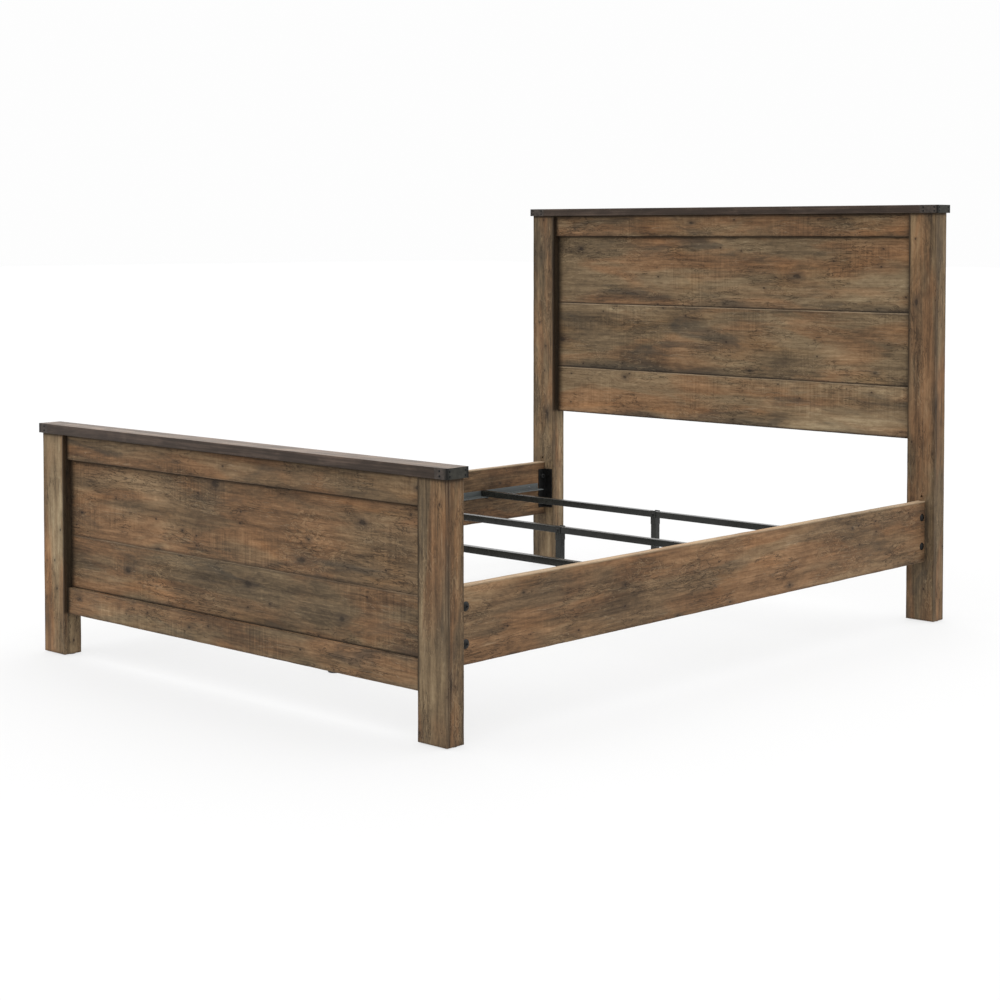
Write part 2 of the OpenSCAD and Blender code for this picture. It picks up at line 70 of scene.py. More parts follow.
class Tree:
    """Short names for building a material's or a node group's nodes."""

    def __init__(self, tree):
        self.tree = tree

    def put(self, socket, value):
        if isinstance(value, bpy.types.NodeSocket):
            self.tree.links.new(value, socket)
        else:
            socket.default_value = value

    def node(self, kind, values=(), **settings):
        n = self.tree.nodes.new("ShaderNode" + kind)
        for key, value in settings.items():
            setattr(n, key, value)
        for key, value in dict(values).items():
            self.put(n.inputs[key], value)
        return n

    def group(self, group, values):
        n = self.node("Group", node_tree=group)
        for key, value in values.items():
            self.put(n.inputs[key], value)
        return n.outputs

    def math(self, operation, a, b=0.0, c=0.0):
        return self.node("Math", {0: a, 1: b, 2: c}, operation=operation).outputs[0]

    def add(self, a, b):
        return self.math("ADD", a, b)

    def mul(self, a, b):
        return self.math("MULTIPLY", a, b)

    def most(self, a, b):
        return self.math("MAXIMUM", a, b)

    def madd(self, a, b, c):
        return self.math("MULTIPLY_ADD", a, b, c)

    def around(self, value, gain, start):
        """start plus gain times how far value is from a half."""
        return self.madd(self.add(value, -0.5), gain, start)

    def vec(self, operation, a, b=(0, 0, 0), c=(0, 0, 0)):
        values = {0: a, 1: b, 2: c} if operation == "MULTIPLY_ADD" else {0: a, 1: b}
        return self.node("VectorMath", values, operation=operation).outputs

    def noise(self, vector, scale, shift=0.0, detail=3.0, rough=0.5, bend=0.0):
        """Noise of the vector times scale, from 0 to 1 round 0.5."""
        at = self.vec("MULTIPLY_ADD", vector, scale, (0, 0, shift))[0]
        values = {"Vector": at, "Scale": 1.0, "Detail": detail, "Roughness": rough, "Distortion": bend}
        return self.node("TexNoise", values).outputs[0]

    def cells(self, vector, scale, shift=0.0):
        """Distance to the nearest of a scatter of points, and three random numbers for it."""
        at = self.vec("MULTIPLY_ADD", vector, scale, (shift, 0.7 * shift, 0))[0]
        n = self.node("TexVoronoi", {"Vector": at, "Scale": 1.0, "Randomness": 1.0}, voronoi_dimensions="2D")
        return n.outputs["Distance"], self.xyz(n.outputs["Color"])

    def step(self, value, low, high, to_low=0.0, to_high=1.0):
        """Smooth change from to_low to to_high as value goes from low to high."""
        values = {"Value": value, "From Min": low, "From Max": high, "To Min": to_low, "To Max": to_high}
        return self.node("MapRange", values, interpolation_type="SMOOTHSTEP").outputs[0]

    def mix(self, factor, a, b, blend="MIX"):
        n = self.node("Mix", {0: factor, 6: a, 7: b}, data_type="RGBA", blend_type=blend)
        return n.outputs[2]

    def ramp(self, factor, stops):
        n = self.node("ValToRGB", {0: factor})
        ramp = n.color_ramp
        while len(ramp.elements) < len(stops):
            ramp.elements.new(0.5)
        for element, (at, colour) in zip(ramp.elements, stops):
            element.position = at
            element.color = colour
        return n.outputs[0]

    def xyz(self, vector):
        return self.node("SeparateXYZ", {0: vector}).outputs

    def vector(self, x, y, z):
        return self.node("CombineXYZ", {0: x, 1: y, 2: z}).outputs[0]

    def bump(self, height, distance, strength=1.0):
        return self.node("Bump", {"Height": height, "Distance": distance, "Strength": strength}).outputs[0]


def shade(r, g, b):
    """A colour given as 0 to 255 on a screen, for a shader."""
    convert = lambda v: v / 12.92 if v <= 0.04045 else ((v + 0.055) / 1.055) ** 2.4
    return tuple(convert(v / 255) for v in (r, g, b)) + (1.0,)


def new_material(name):
    """A material with only its output, and its Tree."""
    material = bpy.data.materials.new(name)
    material.use_nodes = True
    material.node_tree.nodes.clear()
    return material, Tree(material.node_tree)


def surface(tree, **values):
    """Adds the Principled shader; names in values have _ for a space."""
    shader = tree.node("BsdfPrincipled", {k.replace("_", " "): v for k, v in values.items()})
    out = tree.node("OutputMaterial")
    tree.tree.links.new(shader.outputs[0], out.inputs[0])
    return shader


def new_group(name, inputs, outputs):
    """An empty node group: the group, its Tree, its inputs by name and its output node's sockets."""
    group = bpy.data.node_groups.new(name, "ShaderNodeTree")
    for key, kind in inputs:
        group.interface.new_socket(key, in_out="INPUT", socket_type="NodeSocket" + kind)
    for key, kind in outputs:
        group.interface.new_socket(key, in_out="OUTPUT", socket_type="NodeSocket" + kind)
    start, end = group.nodes.new("NodeGroupInput"), group.nodes.new("NodeGroupOutput")
    return group, Tree(group), start.outputs, end.inputs


# ---------- wood ----------

def arris_group():
    """Distance from a point on a box's surface to the nearest of the box's edges."""
    group, t, ins, outs = new_group(
        "arris_distance",
        [("Point", "Vector"), ("Low", "Vector"), ("High", "Vector")],
        [("Distance", "Float")],
    )
    above = t.vec("SUBTRACT", ins["Point"], ins["Low"])[0]
    below = t.vec("SUBTRACT", ins["High"], ins["Point"])[0]
    x, y, z = t.xyz(t.vec("MINIMUM", above, below)[0])
    small, large = t.math("MINIMUM", x, y), t.most(x, y)
    t.put(outs["Distance"], t.most(small, t.math("MINIMUM", large, z)))
    return group


def corner_group():
    """A mask along an inside corner, mirrored left and right: 1 at the corner and 0 at Reach. It places the
    painted shade in the wood's inside corners and the black folds of the caps' straps.
    Mask is 0 for the axis that the corner runs along."""
    group, t, ins, outs = new_group(
        "corner_shade_and_seam",
        [("Point", "Vector"), ("Corner", "Vector"), ("Mask", "Vector"), ("Reach", "Float")],
        [("Dirt", "Float")],
    )
    x, y, z = t.xyz(ins["Point"])
    point = t.vector(t.math("ABSOLUTE", x), y, z)
    away = t.vec("MULTIPLY", t.vec("SUBTRACT", point, ins["Corner"])[0], ins["Mask"])[0]
    length = t.vec("LENGTH", away)[1]
    uneven = t.madd(t.noise(ins["Point"], (9, 9, 9), 0, 3), 0.9, 0.55)
    ratio = t.math("DIVIDE", length, t.mul(ins["Reach"], uneven))
    t.put(outs["Dirt"], t.step(ratio, 1.0, 0.0))
    return group


def wood_group():
    """Reclaimed boards: blotches, streaks, growth rings, knots, cracks, saw marks and worn arrises, with
    painted shade in the inside corners and a painted highlight along the top.
    Grain holds the place along the grain, the place across it and a seed, in metres. Arris is the
    distance to the nearest edge, Rise and Drop the heights above the board's foot and below its top,
    and Corner the painted shade of its inside corners. The rest are strengths."""
    group, t, ins, outs = new_group(
        "weathered_wood",
        [("Grain", "Vector"), ("Arris", "Float"), ("Rise", "Float"), ("Corner", "Float"), ("Tone", "Float"),
         ("Warm", "Float"), ("Smudge", "Float"), ("Saw", "Float"), ("Streak", "Float"), ("Drop", "Float"),
         ("TopHighlight", "Float"), ("Grey", "Float")],
        [("Color", "Color"), ("Roughness", "Float"), ("Normal", "Vector")],
    )
    grain = ins["Grain"]
    s = t.xyz(grain)[1]

    # knots, and the growth rings that flow round them
    spread, pick = t.cells(grain, (3.4, 6.0, 1.0))
    has_knot = t.step(pick[0], 0.40, 0.42)
    reach = t.math("DIVIDE", spread, t.madd(pick[1], 0.055, 0.022))
    lumpy = t.madd(t.noise(grain, (45, 80, 1), 3.1, 3, 0.6), 1.2, reach)
    knot = t.mul(has_knot, t.step(lumpy, 1.6, 1.0))
    halo = t.mul(has_knot, t.step(lumpy, 3.4, 1.2))
    wander = t.noise(grain, (1.4, 3.0, 1), 5.3, 2, 0.5, 0.4)
    swell = t.mul(t.mul(has_knot, t.step(spread, 0.34, 0.0)), 2.6)
    fine = t.noise(grain, (7, 160, 1), 1.7, 2)
    ring = t.math("FRACT", t.madd(fine, 0.9, t.add(t.madd(s, 60.0, t.mul(wander, 14.0)), swell)))
    late = t.mul(t.step(ring, 0.30, 0.90), t.step(ring, 1.0, 0.93))

    # blotches and streaks, from broad to fine
    broad = t.noise(grain, (2.0, 7.0, 1), 7.9, 3, 0.55, 0.6)
    medium = t.noise(grain, (7, 24, 1), 9.1, 5, 0.65, 0.8)
    streak = t.noise(grain, (1.2, 40, 1), 2.2, 3, 0.55, 0.25)
    thread = t.noise(grain, (7, 190, 1), 4.9, 3, 0.6, 0.4)
    blotch = t.noise(grain, (42, 95, 1), 9.9, 4, 0.7, 0.9)
    hair_at = t.math("ABSOLUTE", t.add(t.noise(grain, (3.0, 120, 1), 6.7, 2, 0.5, 0.3), -0.5))
    hair_area = t.step(t.noise(grain, (3.5, 22, 1), 6.1, 3), 0.44, 0.60)
    hair = t.mul(t.step(hair_at, 0.030, 0.006), hair_area)
    fibre = t.noise(grain, (22, 620, 1), 4.4, 2, 0.6)

    # cross marks of the saw, in patches
    saw_area = t.step(t.noise(grain, (3.2, 8.0, 1), 13.7, 3), 0.46, 0.60)
    saw = t.mul(t.mul(saw_area, ins["Saw"]), t.add(t.noise(grain, (150, 4, 1), 15.9, 2, 0.7), -0.5))

    # short cracks, pale scratches, patches of torn grain and small holes
    crack_at = t.math("ABSOLUTE", t.add(t.noise(grain, (9, 55, 1), 17.1, 3, 0.6, 1.6), -0.5))
    crack_area = t.step(t.noise(grain, (5.0, 12, 1), 19.3, 3), 0.51, 0.58)
    crack = t.mul(t.step(crack_at, 0.022, 0.007), crack_area)
    scratch_at = t.math("ABSOLUTE", t.add(t.noise(grain, (5, 95, 1), 18.1, 2, 0.6, 0.6), -0.5))
    scratch_area = t.step(t.noise(grain, (6.0, 18, 1), 20.3, 2), 0.50, 0.60)
    scratch = t.mul(t.step(scratch_at, 0.014, 0.004), scratch_area)
    ripple = t.noise(grain, (13, 46, 1), 35.3, 3, 0.55, 1.8)
    ripple_area = t.step(t.noise(grain, (3.6, 9, 1), 36.9, 2), 0.54, 0.62)
    furrow = t.mul(t.step(t.math("ABSOLUTE", t.add(ripple, -0.50)), 0.035, 0.010), ripple_area)
    ledge = t.mul(t.step(t.math("ABSOLUTE", t.add(ripple, -0.56)), 0.035, 0.010), ripple_area)
    hole_at, hole_pick = t.cells(grain, (11, 16, 1.0), 21.0)
    has_hole = t.step(hole_pick[0], 0.86, 0.87)
    pits = t.mul(has_hole, t.step(hole_at, 0.060, 0.030))
    stain = t.mul(has_hole, t.step(hole_at, 0.26, 0.04))

    # tone
    value = t.around(broad, 1.15, 0.52)
    value = t.around(medium, 0.62, value)
    value = t.madd(t.add(streak, -0.5), ins["Streak"], value)
    value = t.around(thread, 0.50, value)
    value = t.around(blotch, 0.55, value)
    value = t.madd(hair, -0.13, value)
    value = t.around(fibre, 0.30, value)
    value = t.madd(saw, 0.48, value)
    value = t.madd(late, -0.07, value)
    value = t.add(ins["Tone"], value)
    colour = t.ramp(value, [
        (0.0, shade(52, 41, 31)), (0.25, shade(77, 62, 46)), (0.5, shade(102, 82, 60)),
        (0.75, shade(125, 103, 77)), (1.0, shade(150, 129, 100)),
    ])
    pink = t.add(t.step(t.noise(grain, (2.0, 9, 1), 11.3, 3, 0.55, 0.6), 0.42, 0.64), ins["Warm"])
    orange = t.step(t.noise(grain, (2.2, 8, 1), 12.7, 3, 0.55, 0.9), 0.50, 0.74)
    colour = t.mix(1.0, colour, t.mix(pink, (0.93, 1.01, 1.06, 1), (1.11, 0.955, 0.88, 1)), "MULTIPLY")
    colour = t.mix(1.0, colour, t.mix(orange, (1, 1, 1, 1), (1.10, 0.985, 0.87, 1)), "MULTIPLY")

    # grey-black weathering, most of it low on a board
    smudge = t.noise(grain, (2.5, 10, 1), 23.5, 4, 0.62, 0.9)
    low = t.step(t.madd(t.noise(grain, (5, 12, 1), 25.7, 2), 0.05, ins["Rise"]), 0.058, 0.024)
    run = t.step(t.noise(grain, (1.8, 1.0, 1), 27.9, 2), 0.42, 0.58)
    dark = t.add(t.mul(t.step(smudge, 0.53, 0.70), ins["Grey"]), t.mul(t.mul(low, run), ins["Smudge"]))
    dark = t.math("MINIMUM", dark, 1.0)
    colour = t.mix(t.mul(dark, 0.64), colour, shade(54, 51, 46))
    colour = t.mix(t.mul(halo, 0.50), colour, shade(54, 46, 39))
    colour = t.mix(t.mul(knot, 0.75), colour, shade(34, 28, 24))
    colour = t.mix(t.mul(crack, 0.62), colour, shade(36, 28, 22))
    colour = t.mix(t.mul(scratch, 0.24), colour, shade(158, 140, 114))
    colour = t.mix(t.mul(furrow, 0.30), colour, shade(56, 44, 33))
    colour = t.mix(t.mul(ledge, 0.20), colour, shade(152, 130, 100))
    colour = t.mix(t.mul(stain, 0.26), colour, shade(48, 38, 32))
    colour = t.mix(t.mul(pits, 0.75), colour, shade(34, 26, 21))

    # arrises: rubbed light in places, with dirt beside them; the inside corners get painted shade further
    # down
    wobble = t.madd(t.noise(grain, (9, 9, 1), 29.2, 3), 0.004, -0.0020)
    from_arris = t.add(ins["Arris"], wobble)
    rub_area = t.step(t.noise(grain, (6, 1, 1), 31.4, 2), 0.44, 0.62)
    rub = t.mul(t.step(from_arris, 0.0022, 0.0006), rub_area)
    dirt = t.step(from_arris, 0.009, 0.001)
    colour = t.mix(t.mul(dirt, 0.40), colour, shade(40, 31, 25))
    colour = t.mix(t.mul(rub, 0.30), colour, shade(142, 122, 98))

    # a dark line along the foot of a plank and a painted highlight along its top
    foot_line = t.mul(t.step(ins["Rise"], 0.0065, 0.0015), ins["Smudge"])
    colour = t.mix(t.mul(foot_line, 0.75), colour, shade(34, 27, 21))
    uneven = t.step(t.noise(grain, (5, 1, 1), 33.1, 3), 0.30, 0.60, 0.4, 1.0)
    # painted highlight: a pale line along the top of planks and side rails, where overhead light catches the
    # edge
    painted_top_highlight = t.mul(t.mul(t.step(ins["Drop"], 0.0050, 0.0020), ins["TopHighlight"]), uneven)
    colour = t.mix(painted_top_highlight, colour, shade(164, 144, 118))
    # painted shade: darkening in the inside corners beside the posts and under the rails and caps
    colour = t.mix(t.mul(ins["Corner"], 0.88), colour, shade(26, 19, 12))

    rough = t.around(streak, -0.35, 0.72)
    rough = t.madd(dark, 0.12, rough)
    height = t.madd(fibre, 0.30, t.mul(medium, 0.8))
    height = t.madd(thread, 0.6, height)
    height = t.madd(saw, 1.0, height)
    height = t.madd(late, 0.20, height)
    height = t.madd(crack, -1.0, height)
    height = t.madd(scratch, -0.4, height)
    height = t.madd(furrow, -0.5, height)
    height = t.madd(pits, -0.8, height)
    height = t.madd(knot, -0.25, height)
    t.put(outs["Color"], colour)
    t.put(outs["Roughness"], rough)
    t.put(outs["Normal"], t.bump(height, 0.0010, 0.8))
    return group


ARRIS, CORNER, WOOD = arris_group(), corner_group(), wood_group()


def wood(name, axis, low, high, seed, tone=0.0, warm=0.0, smudge=0.0, saw=1.0, streak=0.6, highlight_strength=0.0,
         grey=1.0, corners=(), span=None):
    """Wood with its grain along the axis, for a board that fills the box low..high. corners are
    (corner, mask, reach) of its inside corners, which get painted shade; span is the Z range they keep to."""
    material, t = new_material(name)
    point = t.node("TexCoord").outputs["Object"]
    place = t.xyz(point)
    others = [a for a in (X, Y, Z) if a != axis]
    across = t.add(place[others[0]], place[others[1]])
    grain = t.vector(t.add(place[axis], 3.7 * seed), t.add(across, 1.9 * seed), 0.37 * seed)
    distance = t.group(ARRIS, {"Point": point, "Low": tuple(low), "High": tuple(high)})[0]
    # painted shade in the inside corners, kept to the span's heights
    corner = 0.0
    for at, mask, reach in corners:
        found = t.group(CORNER, {"Point": point, "Corner": at, "Mask": mask, "Reach": reach})[0]
        corner = t.most(corner, found)
    if span:
        inside = t.mul(t.step(place[Z], span[0] - 0.006, span[0] + 0.006),
                       t.step(place[Z], span[1] + 0.006, span[1] - 0.006))
        corner = t.mul(corner, inside)
    body = t.group(WOOD, {"Grain": grain, "Arris": distance, "Rise": t.add(place[Z], -low[Z]),
                          "Corner": corner, "Tone": tone, "Warm": warm, "Smudge": smudge, "Saw": saw,
                          "Streak": streak, "Drop": t.madd(place[Z], -1.0, high[Z]), "TopHighlight": highlight_strength,
                          "Grey": grey})
    surface(t, Base_Color=body["Color"], Roughness=body["Roughness"], Normal=body["Normal"],
            Specular_IOR_Level=0.20, Specular_Tint=(1.0, 0.90, 0.78, 1))
    return material


# ---------- metal and plastic ----------

def coated(name, deep, pale, rough, metallic=0.0, grit=0.00015, cloud_size=55.0, streaky=(1, 1, 1), level=0.5,
           patchy=0.45):
    """Blackened, painted or plated steel, or plastic, with a cloudy finish and small scuffs."""
    material, t = new_material(name)
    point = t.node("TexCoord").outputs["Object"]
    cloud = t.noise(point, tuple(cloud_size * k for k in streaky), 0, 5, 0.65, 0.3)
    grain = t.noise(point, (800, 800, 800), 3, 2, 0.5)
    scuff = t.step(t.noise(point, tuple(140 * k for k in streaky), 6, 4, 0.7, 0.5), 0.60, 0.72)
    colour = t.mix(t.step(cloud, 0.30, 0.70), shade(*deep), shade(*pale))
    colour = t.mix(t.mul(scuff, 0.35), colour, shade(*(min(255, 1.45 * v) for v in pale)))
    roughness = t.madd(scuff, 0.12, t.around(cloud, patchy, rough))
    height = t.madd(grain, 0.4, cloud)
    surface(t, Base_Color=colour, Roughness=roughness, Metallic=metallic, Specular_IOR_Level=level,
            Normal=t.bump(height, grit))
    return material


def cap_wood(name):
    """Dark stained board with fine lines along the grain and cloudy patches, with a painted sheen that makes
    its top paler.
    """
    material, t = new_material(name)
    point = t.node("TexCoord").outputs["Object"]
    place = t.xyz(point)
    grain = t.vector(place[X], t.add(place[Y], place[Z]), 0.0)
    line = t.noise(grain, (1.6, 170, 1), 1.0, 3, 0.6, 0.2)
    soft = t.noise(grain, (4.5, 55, 1), 3.0, 4, 0.6, 0.6)
    patch = t.noise(grain, (9, 22, 1), 7.0, 4, 0.65, 0.6)
    value = t.around(patch, 1.0, t.around(soft, 1.1, t.around(line, 1.0, 0.5)))
    colour = t.ramp(value, [(0.0, shade(24, 18, 14)), (0.5, shade(45, 36, 30)), (1.0, shade(80, 66, 57))])
    # painted sheen: faces that look upward get a much paler colour
    painted_top_sheen = t.step(t.xyz(t.node("TexCoord").outputs["Normal"])[2], 0.5, 0.95)
    colour = t.mix(painted_top_sheen, colour, t.mix(1.0, colour, (2.4, 2.25, 1.85, 1), "MULTIPLY"))
    height = t.madd(line, 1.0, t.noise(grain, (14, 500, 1), 5.0, 2, 0.5))
    surface(t, Base_Color=colour, Roughness=t.around(soft, -0.3, 0.45), Normal=t.bump(height, 0.0004),
            Specular_IOR_Level=0.25, Specular_Tint=(1.0, 0.86, 0.76, 1))
    return material


# ---------- meshes ----------

def smooth_path(rng, places, gap, low, high):
    """A smooth random line over places, with a new value every gap metres."""
    knots = np.arange(places[0] - gap, places[-1] + 2 * gap, gap)
    values = rng.uniform(low, high, len(knots))
    near = np.clip(((places - knots[0]) / gap).astype(int), 0, len(knots) - 2)
    part = (places - knots[near]) / gap
    part = part * part * (3 - 2 * part)
    return values[near] * (1 - part) + values[near + 1] * part


RING_GAP = 13 * MM       # between the rings of points along a board
DEEPEST_DENT = 0.3 * MM


def board_mesh(bm, low, high, axis, seed, wear, ends):
    """Adds a board to bm: worn arrises that vary along it, faces that waver, softened ends."""
    rng = np.random.RandomState(seed)
    b, c = [a for a in (X, Y, Z) if a != axis]
    size = high - low
    count = max(6, int(size[axis] / RING_GAP))
    inner = np.linspace(ends, size[axis] - ends, count)
    steps = np.array([0.0, 0.3 * ends])
    along = np.concatenate([steps, inner, size[axis] - steps[::-1]])
    inset = np.concatenate([[ends, 0.3 * ends], np.zeros(count), [0.3 * ends, ends]])
    largest = 0.3 * min(size[b], size[c])
    radius = []
    for _ in range(4):
        long_wave = wear * smooth_path(rng, along, 0.05, -0.4, 1.9)
        short_wave = smooth_path(rng, along, 0.02, 0.0, 0.5 * wear)
        radius.append(np.clip(long_wave + short_wave, 0.5 * wear, largest))
    dents = [np.minimum(smooth_path(rng, along, 0.07, 0.0, 0.25 * wear), DEEPEST_DENT) for _ in range(4)]
    signs = [(1, 1), (-1, 1), (-1, -1), (1, -1)]
    rings = []
    for i, place in enumerate(along):
        half_b, half_c = size[b] / 2 - inset[i], size[c] / 2 - inset[i]
        ring = []
        for k, (sb, sc) in enumerate(signs):
            r = radius[k][i]
            for step in range(4):
                turn = (k * 90 + step * 30) * math.pi / 180
                ring.append((sb * (half_b - r) + r * math.cos(turn), sc * (half_c - r) + r * math.sin(turn)))
            nb, nc = signs[(k + 1) % 4]
            for part in (1 / 3, 2 / 3):
                pb = sb * half_b * (1 - part) + nb * half_b * part
                pc = sc * half_c * (1 - part) + nc * half_c * part
                inward = dents[k][i] * (0.4 + part)
                if sb == nb:
                    pb -= sb * inward
                else:
                    pc -= sc * inward
                ring.append((pb, pc))
        verts = []
        for pb, pc in ring:
            co = np.zeros(3)
            co[axis] = low[axis] + place
            co[b] = (low[b] + high[b]) / 2 + pb
            co[c] = (low[c] + high[c]) / 2 + pc
            verts.append(bm.verts.new(co))
        rings.append(verts)
    n = len(rings[0])
    for one, two in zip(rings, rings[1:]):
        for j in range(n):
            bm.faces.new((one[j], one[(j + 1) % n], two[(j + 1) % n], two[j]))
    bm.faces.new(rings[0][::-1])
    bm.faces.new(rings[-1])


def finish_piece(name, bm, material, node):
    """Makes the piece that stands for a CAD node."""
    bmesh.ops.recalc_face_normals(bm, faces=bm.faces)
    for face in bm.faces:
        face.smooth = True
    mesh = bpy.data.meshes.new(name)
    bm.to_mesh(mesh)
    bm.free()
    obj = bpy.data.objects.new(name, mesh)
    scene.collection.objects.link(obj)
    mesh.materials.append(material)
    weighted = obj.modifiers.new("weighted", "WEIGHTED_NORMAL")
    weighted.keep_sharp = True
    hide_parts(node)
    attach(obj, BED)
    return obj


LONG_EDGE = 8 * MM


def softened(node, width, material):
    """A copy of a CAD node's mesh with its long edges rounded."""
    bm = bmesh.new()
    bm.from_mesh(frame["nodes"][node].data)
    bmesh.ops.remove_doubles(bm, verts=bm.verts, dist=1e-6)
    bmesh.ops.dissolve_limit(bm, angle_limit=math.radians(0.5), verts=bm.verts, edges=bm.edges)
    edges = [e for e in bm.edges if e.calc_length() > LONG_EDGE and len(e.link_faces) == 2
             and e.calc_face_angle(0) > math.radians(40)]
    bmesh.ops.bevel(bm, geom=edges, offset=width, segments=2, profile=0.5, affect="EDGES",
                    clamp_overlap=True)
    bmesh.ops.triangulate(bm, faces=[f for f in bm.faces if len(f.verts) > 4])
    return finish_piece(node + "_soft", bm, material, node)


TONGUE_WEAR = 0.3 * MM


def board(node, axis, seed, slot, wear=1.3 * MM, ends=1.2 * MM, tongues=(0, 0), holes=(), **look):
    """Replaces a board's CAD node. tongues are the heights of its lower and upper tongues, which get
    no wear, and holes are (place, radius, depth)."""
    low, high = (np.array(corner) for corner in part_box(node))
    body_low, body_high = low.copy(), high.copy()
    body_low[Z] += tongues[0]
    body_high[Z] -= tongues[1]
    bm = bmesh.new()
    board_mesh(bm, body_low, body_high, axis, seed, wear, ends)
    co = np.array([v.co for v in frame["nodes"][node].data.vertices])
    lower, upper = co[co[:, Z] < body_low[Z] - MM], co[co[:, Z] > body_high[Z] + MM]
    for corners, from_z, to_z in ((lower, low[Z], body_low[Z]), (upper, body_high[Z], high[Z])):
        if len(corners):
            tongue_low, tongue_high = corners.min(0), corners.max(0)
            tongue_low[Z], tongue_high[Z] = from_z, to_z
            board_mesh(bm, tongue_low, tongue_high, axis, seed + 50, TONGUE_WEAR, TONGUE_WEAR)
    material = wood("wood_" + node, axis, body_low, body_high, seed, **look)
    obj = finish_piece(node + "_board", bm, material, node)
    for place, radius, depth in holes:
        drill(obj, place, radius, depth)
    return obj


def drill(obj, place, radius, depth):
    """Cuts a round hole, along +Y from place, into a piece."""
    bm = bmesh.new()
    bmesh.ops.create_cone(bm, cap_ends=True, segments=32, radius1=radius, radius2=radius, depth=2 * depth)
    turn = Vector((0, 0, 1)).rotation_difference(Vector((0, 1, 0))).to_matrix()
    bmesh.ops.rotate(bm, verts=bm.verts, matrix=turn)
    bmesh.ops.translate(bm, verts=bm.verts, vec=place)
    mesh = bpy.data.meshes.new("cutter")
    bm.to_mesh(mesh)
    bm.free()
    cutter = bpy.data.objects.new("cutter", mesh)
    scene.collection.objects.link(cutter)
    cut = obj.modifiers.new("hole", "BOOLEAN")
    cut.object, cut.operation, cut.solver = cutter, "DIFFERENCE", "EXACT"
    obj.modifiers.move(len(obj.modifiers) - 1, 0)
    obj.modifiers["weighted"].show_viewport = False
    bpy.context.view_layer.update()
    solid = obj.evaluated_get(bpy.context.evaluated_depsgraph_get())
    made = bpy.data.meshes.new_from_object(solid)
    obj.modifiers.remove(cut)
    obj.modifiers["weighted"].show_viewport = True
    obj.data = made
    bpy.data.objects.remove(cutter)


# ---------- the wooden pieces ----------

for obj in frame["nodes"].values():
    obj.data.materials.clear()

ends = {}
for end in ("head", "foot"):
    post_low, post_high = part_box(end + "_post_face_right")
    plank_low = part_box(end + "_plank_upper")[0]
    rail_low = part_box(end + "_top_rail")[0]
    panel_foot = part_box("head_plank_lower")[0].z if end == "head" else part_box("foot_bottom_rail")[0].z
    inner = post_low.x
    # painted shade under the cap's overhang; each kind of piece also gets painted shade in its corner beside
    # the posts
    shade_under_cap = ((0, 0, post_high.z), (0, 0, 1), 0.012)
    ends[end] = {
        "span": (panel_foot, post_high.z),
        "post": (((inner, plank_low.y, 0), (1, 0.08, 0), 0.009), shade_under_cap),
        "plank": (((inner, plank_low.y, 0), (1, 1, 0), 0.030),
                  ((0, plank_low.y, rail_low.z), (0, 1, 1), 0.011)),
        "rail": (((inner, rail_low.y, 0), (1, 1, 0), 0.020), shade_under_cap),
    }

head, foot = ends["head"], ends["foot"]
# the spare holes in the head posts, from the record's mounts
spare_holes = {}
for mount in frame["record"]["mounts"]:
    if mount["name"].startswith("spare_hole"):
        post = mount["name"].replace("spare_hole", "head_post")
        place = (mount["pos_m"][X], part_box("head_post_face_left")[0].y, mount["pos_m"][Z])
        hole = (place, mount["dims"]["r_mm"] * MM, mount["dims"]["length_mm"] * MM)
        spare_holes[post] = spare_holes[post.replace("post", "post_face")] = (hole,)

# node: grain axis, seed, tone, warm, smudge, finish, end of the bed, kind
boards = {
    "head_post_left": (Z, 1, 0.0, 0.0, 0, "post_wood", head, "post"),
    "head_post_right": (Z, 2, 0.0, 0.0, 0, "post_wood", head, "post"),
    "head_post_face_left": (Z, 3, 0.0, 0.0, 0, "post_wood", head, "post"),
    "head_post_face_right": (Z, 4, -0.11, 0.0, 0, "post_wood", head, "post"),
    "foot_post_left": (Z, 5, 0.08, 0.0, 0, "post_wood", foot, "post"),
    "foot_post_right": (Z, 6, 0.0, 0.0, 0, "post_wood", foot, "post"),
    "foot_post_face_left": (Z, 7, 0.08, 0.0, 0, "post_wood", foot, "post"),
    "foot_post_face_right": (Z, 8, -0.05, 0.0, 0, "post_wood", foot, "post"),
    "head_top_rail": (X, 9, 0.08, 0.2, 0, "panel_rail_wood", head, "rail"),
    "head_plank_upper": (X, 10, -0.02, 0.0, 1, "plank_wood", head, "plank"),
    "head_plank_middle": (X, 11, -0.04, -0.2, 1, "plank_wood", head, "plank"),
    "head_plank_lower": (X, 12, 0.15, 0.1, 1, "plank_wood", head, "plank"),
    "foot_top_rail": (X, 13, 0.0, 0.2, 0, "panel_rail_wood", foot, "rail"),
    "foot_bottom_rail": (X, 14, 0.0, 0.0, 0, "panel_rail_wood", foot, "rail"),
    "foot_plank_upper": (X, 15, -0.06, 0.3, 0.45, "plank_wood", foot, "plank"),
    "foot_plank_lower": (X, 16, -0.1, 0.0, 1, "plank_wood", foot, "plank"),
    "side_rail_left": (Y, 17, -0.06, 0.5, 0, "side_rail_wood", None, "side"),
    "side_rail_right": (Y, 18, 0.02, 0.4, 0, "side_rail_wood", None, "side"),
    "head_batten_left": (Z, 19, 0.0, 0.0, 0, "batten_wood", None, "batten"),
    "head_batten_middle": (Z, 20, 0.0, 0.0, 0, "batten_wood", None, "batten"),
    "head_batten_right": (Z, 21, 0.0, 0.0, 0, "batten_wood", None, "batten"),
    "foot_batten_left": (Z, 22, 0.0, 0.0, 0, "batten_wood", None, "batten"),
    "foot_batten_middle": (Z, 23, 0.0, 0.0, 0, "batten_wood", None, "batten"),
    "foot_batten_right": (Z, 24, 0.0, 0.0, 0, "batten_wood", None, "batten"),
}
tongue = 8 * MM
tongued = {"head_plank_upper": (0, tongue), "head_plank_middle": (0, tongue), "head_plank_lower": (0, tongue),
           "foot_plank_upper": (0, tongue), "foot_plank_lower": (tongue, tongue)}
